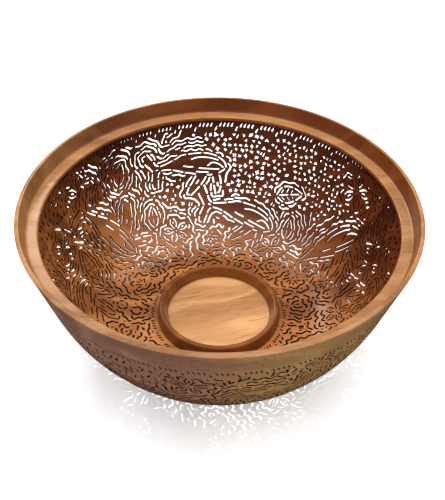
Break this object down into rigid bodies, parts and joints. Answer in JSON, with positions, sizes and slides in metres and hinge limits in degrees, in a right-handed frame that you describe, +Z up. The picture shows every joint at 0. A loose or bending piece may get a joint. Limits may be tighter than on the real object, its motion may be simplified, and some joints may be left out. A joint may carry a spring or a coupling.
{
  "type": "pierced wooden bowl",
  "caption": "Wide turned wooden bowl with a thin pierced wall, a thick rebated rim and a small round dish standing in the middle of its floor, to hold a candle, pot or loose things.",
  "frame": {"origin": "middle of the foot, on the surface that the bowl stands on", "axes": "+Z up along the turning axis; the grain of the wood runs along X"},
  "size_m": [0.3036, 0.3036, 0.1262],
  "materials": {
    "rim_wood": "satin oil and wax over light golden-brown hardwood",
    "wall_wood": "satin oil over reddish-brown hardwood",
    "dish_wood": "satin oil over orange-tan hardwood",
    "foot_wood": "satin oil over brown hardwood"
  },
  "bodies": {
    "root": {"rim_ring": "rim_wood", "pierced_wall": "wall_wood", "centre_dish": "dish_wood", "foot_ring": "foot_wood"}
  },
  "joints": []
}
